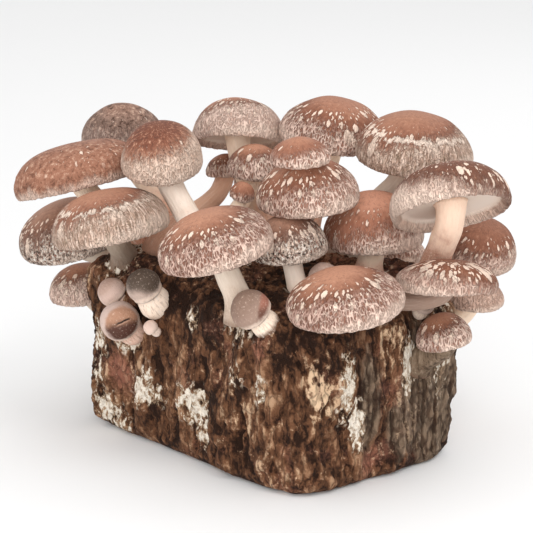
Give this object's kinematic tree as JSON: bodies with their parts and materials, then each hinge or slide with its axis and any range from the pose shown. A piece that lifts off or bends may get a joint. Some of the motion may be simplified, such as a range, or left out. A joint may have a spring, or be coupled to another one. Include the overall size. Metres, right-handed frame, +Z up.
{
  "type": "shiitake grow block",
  "caption": "Rounded, bark-skinned mushroom grow block, standing flat, with domed caps on curved stems and closed buttons growing from its top and sides.",
  "frame": {"origin": "middle of the block's flat underside", "axes": "+Z up, +X along the block's length, -Y the long side with the button cluster"},
  "size_m": [0.3019, 0.2296, 0.1819],
  "materials": {
    "bark": "rough dark brown skin on colonised sawdust, with white patches",
    "cap_skin": "matt tan-brown mushroom skin with cream flecks",
    "stem_flesh": "matt cream mushroom flesh, fibrous lengthwise",
    "button_skin": "matt grey-brown mushroom skin"
  },
  "bodies": {
    "root": {"block": "bark", "cap_01": "cap_skin", "cap_02": "cap_skin", "cap_03": "cap_skin", "cap_04": "cap_skin", "cap_05": "cap_skin", "cap_06": "cap_skin", "cap_07": "cap_skin", "cap_08": "cap_skin", "cap_09": "cap_skin", "cap_10": "cap_skin", "cap_11": "cap_skin", "cap_12": "cap_skin", "cap_13": "cap_skin", "cap_14": "cap_skin", "cap_15": "cap_skin", "cap_16": "cap_skin", "cap_17": "cap_skin", "cap_18": "cap_skin", "cap_19": "cap_skin", "cap_20": "cap_skin", "cap_21": "cap_skin", "cap_22": "cap_skin", "cap_23": "cap_skin", "cap_24": "cap_skin", "cap_25": "cap_skin", "stem_01": "stem_flesh", "stem_02": "stem_flesh", "stem_03": "stem_flesh", "stem_04": "stem_flesh", "stem_05": "stem_flesh", "stem_06": "stem_flesh", "stem_07": "stem_flesh", "stem_08": "stem_flesh", "stem_09": "stem_flesh", "stem_10": "stem_flesh", "stem_11": "stem_flesh", "stem_12": "stem_flesh", "stem_13": "stem_flesh", "stem_14": "stem_flesh", "stem_15": "stem_flesh", "stem_16": "stem_flesh", "stem_17": "stem_flesh", "stem_18": "stem_flesh", "stem_19": "stem_flesh", "stem_20": "stem_flesh", "stem_21": "stem_flesh", "stem_22": "stem_flesh", "stem_23": "stem_flesh", "stem_24": "stem_flesh", "stem_25": "stem_flesh", "button_01": "button_skin", "button_02": "button_skin", "button_03": "button_skin", "button_04": "button_skin", "button_05": "button_skin", "button_06": "button_skin", "button_07": "button_skin", "button_08": "button_skin"}
  },
  "joints": []
}
